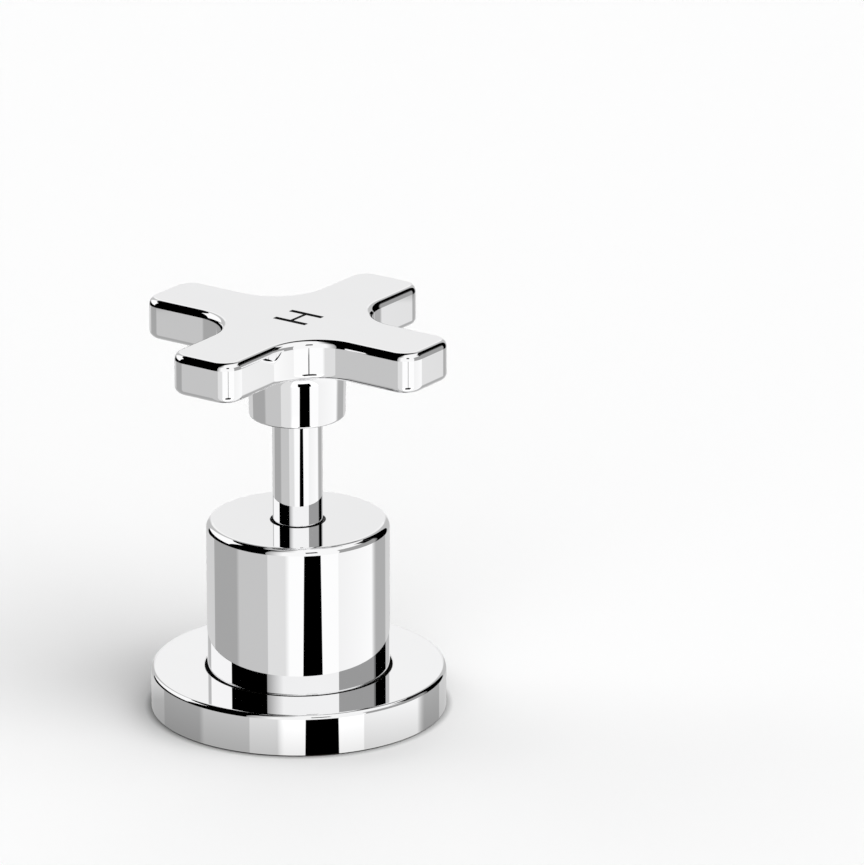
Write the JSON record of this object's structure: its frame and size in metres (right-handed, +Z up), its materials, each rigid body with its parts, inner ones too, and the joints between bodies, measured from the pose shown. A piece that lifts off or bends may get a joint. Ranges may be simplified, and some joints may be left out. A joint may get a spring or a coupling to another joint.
{
  "type": "hob tap",
  "caption": "Deck-mounted chrome tap with a cross handle on a slim stem, round cover and flange, threaded shank and a quarter-turn ceramic-disc valve below the hob.",
  "frame": {"origin": "on the handle's turning axis, in the plane of the hob's top face under the flange", "axes": "+Z up along the handle's axis; +X towards the water outlet; the user stands at -Y"},
  "size_m": [0.0674, 0.0608, 0.1537],
  "materials": {
    "chrome": "mirror-polished chrome plate on brass",
    "brass": "machined brass",
    "steel": "stainless steel",
    "black_rubber": "matte EPDM rubber",
    "ceramic": "lapped alumina ceramic",
    "black_acetal": "black acetal",
    "white_ptfe": "white PTFE",
    "red_fibre": "red vulcanised fibre"
  },
  "bodies": {
    "tap_body": {"valve_body": "brass", "cartridge_body": "brass", "cartridge_washer": "red_fibre", "fixed_disc": "ceramic", "seat_seal": "black_rubber", "body_cover": "chrome", "stem_bush": "black_acetal", "flange": "chrome", "flange_o_ring": "black_rubber", "deck_seal": "black_rubber", "deck_washer": "black_rubber", "clamp_washer": "steel", "backnut": "brass"},
    "turning_handle": {"cross_handle": "chrome", "handle_hub": "chrome", "hub_grub_screw": "steel", "spindle_extension": "chrome", "extension_screw": "steel", "cartridge_spindle": "brass", "spindle_o_rings": "black_rubber", "spindle_circlip": "steel", "thrust_washer": "white_ptfe", "drive_disc": "ceramic"}
  },
  "joints": [
    {"name": "handle_turn", "type": "hinge", "parent": "tap_body", "child": "turning_handle", "pos_m": [0, 0, 0.0335], "axis": [0, 0, 1], "range_deg": [0, 90]}
  ]
}
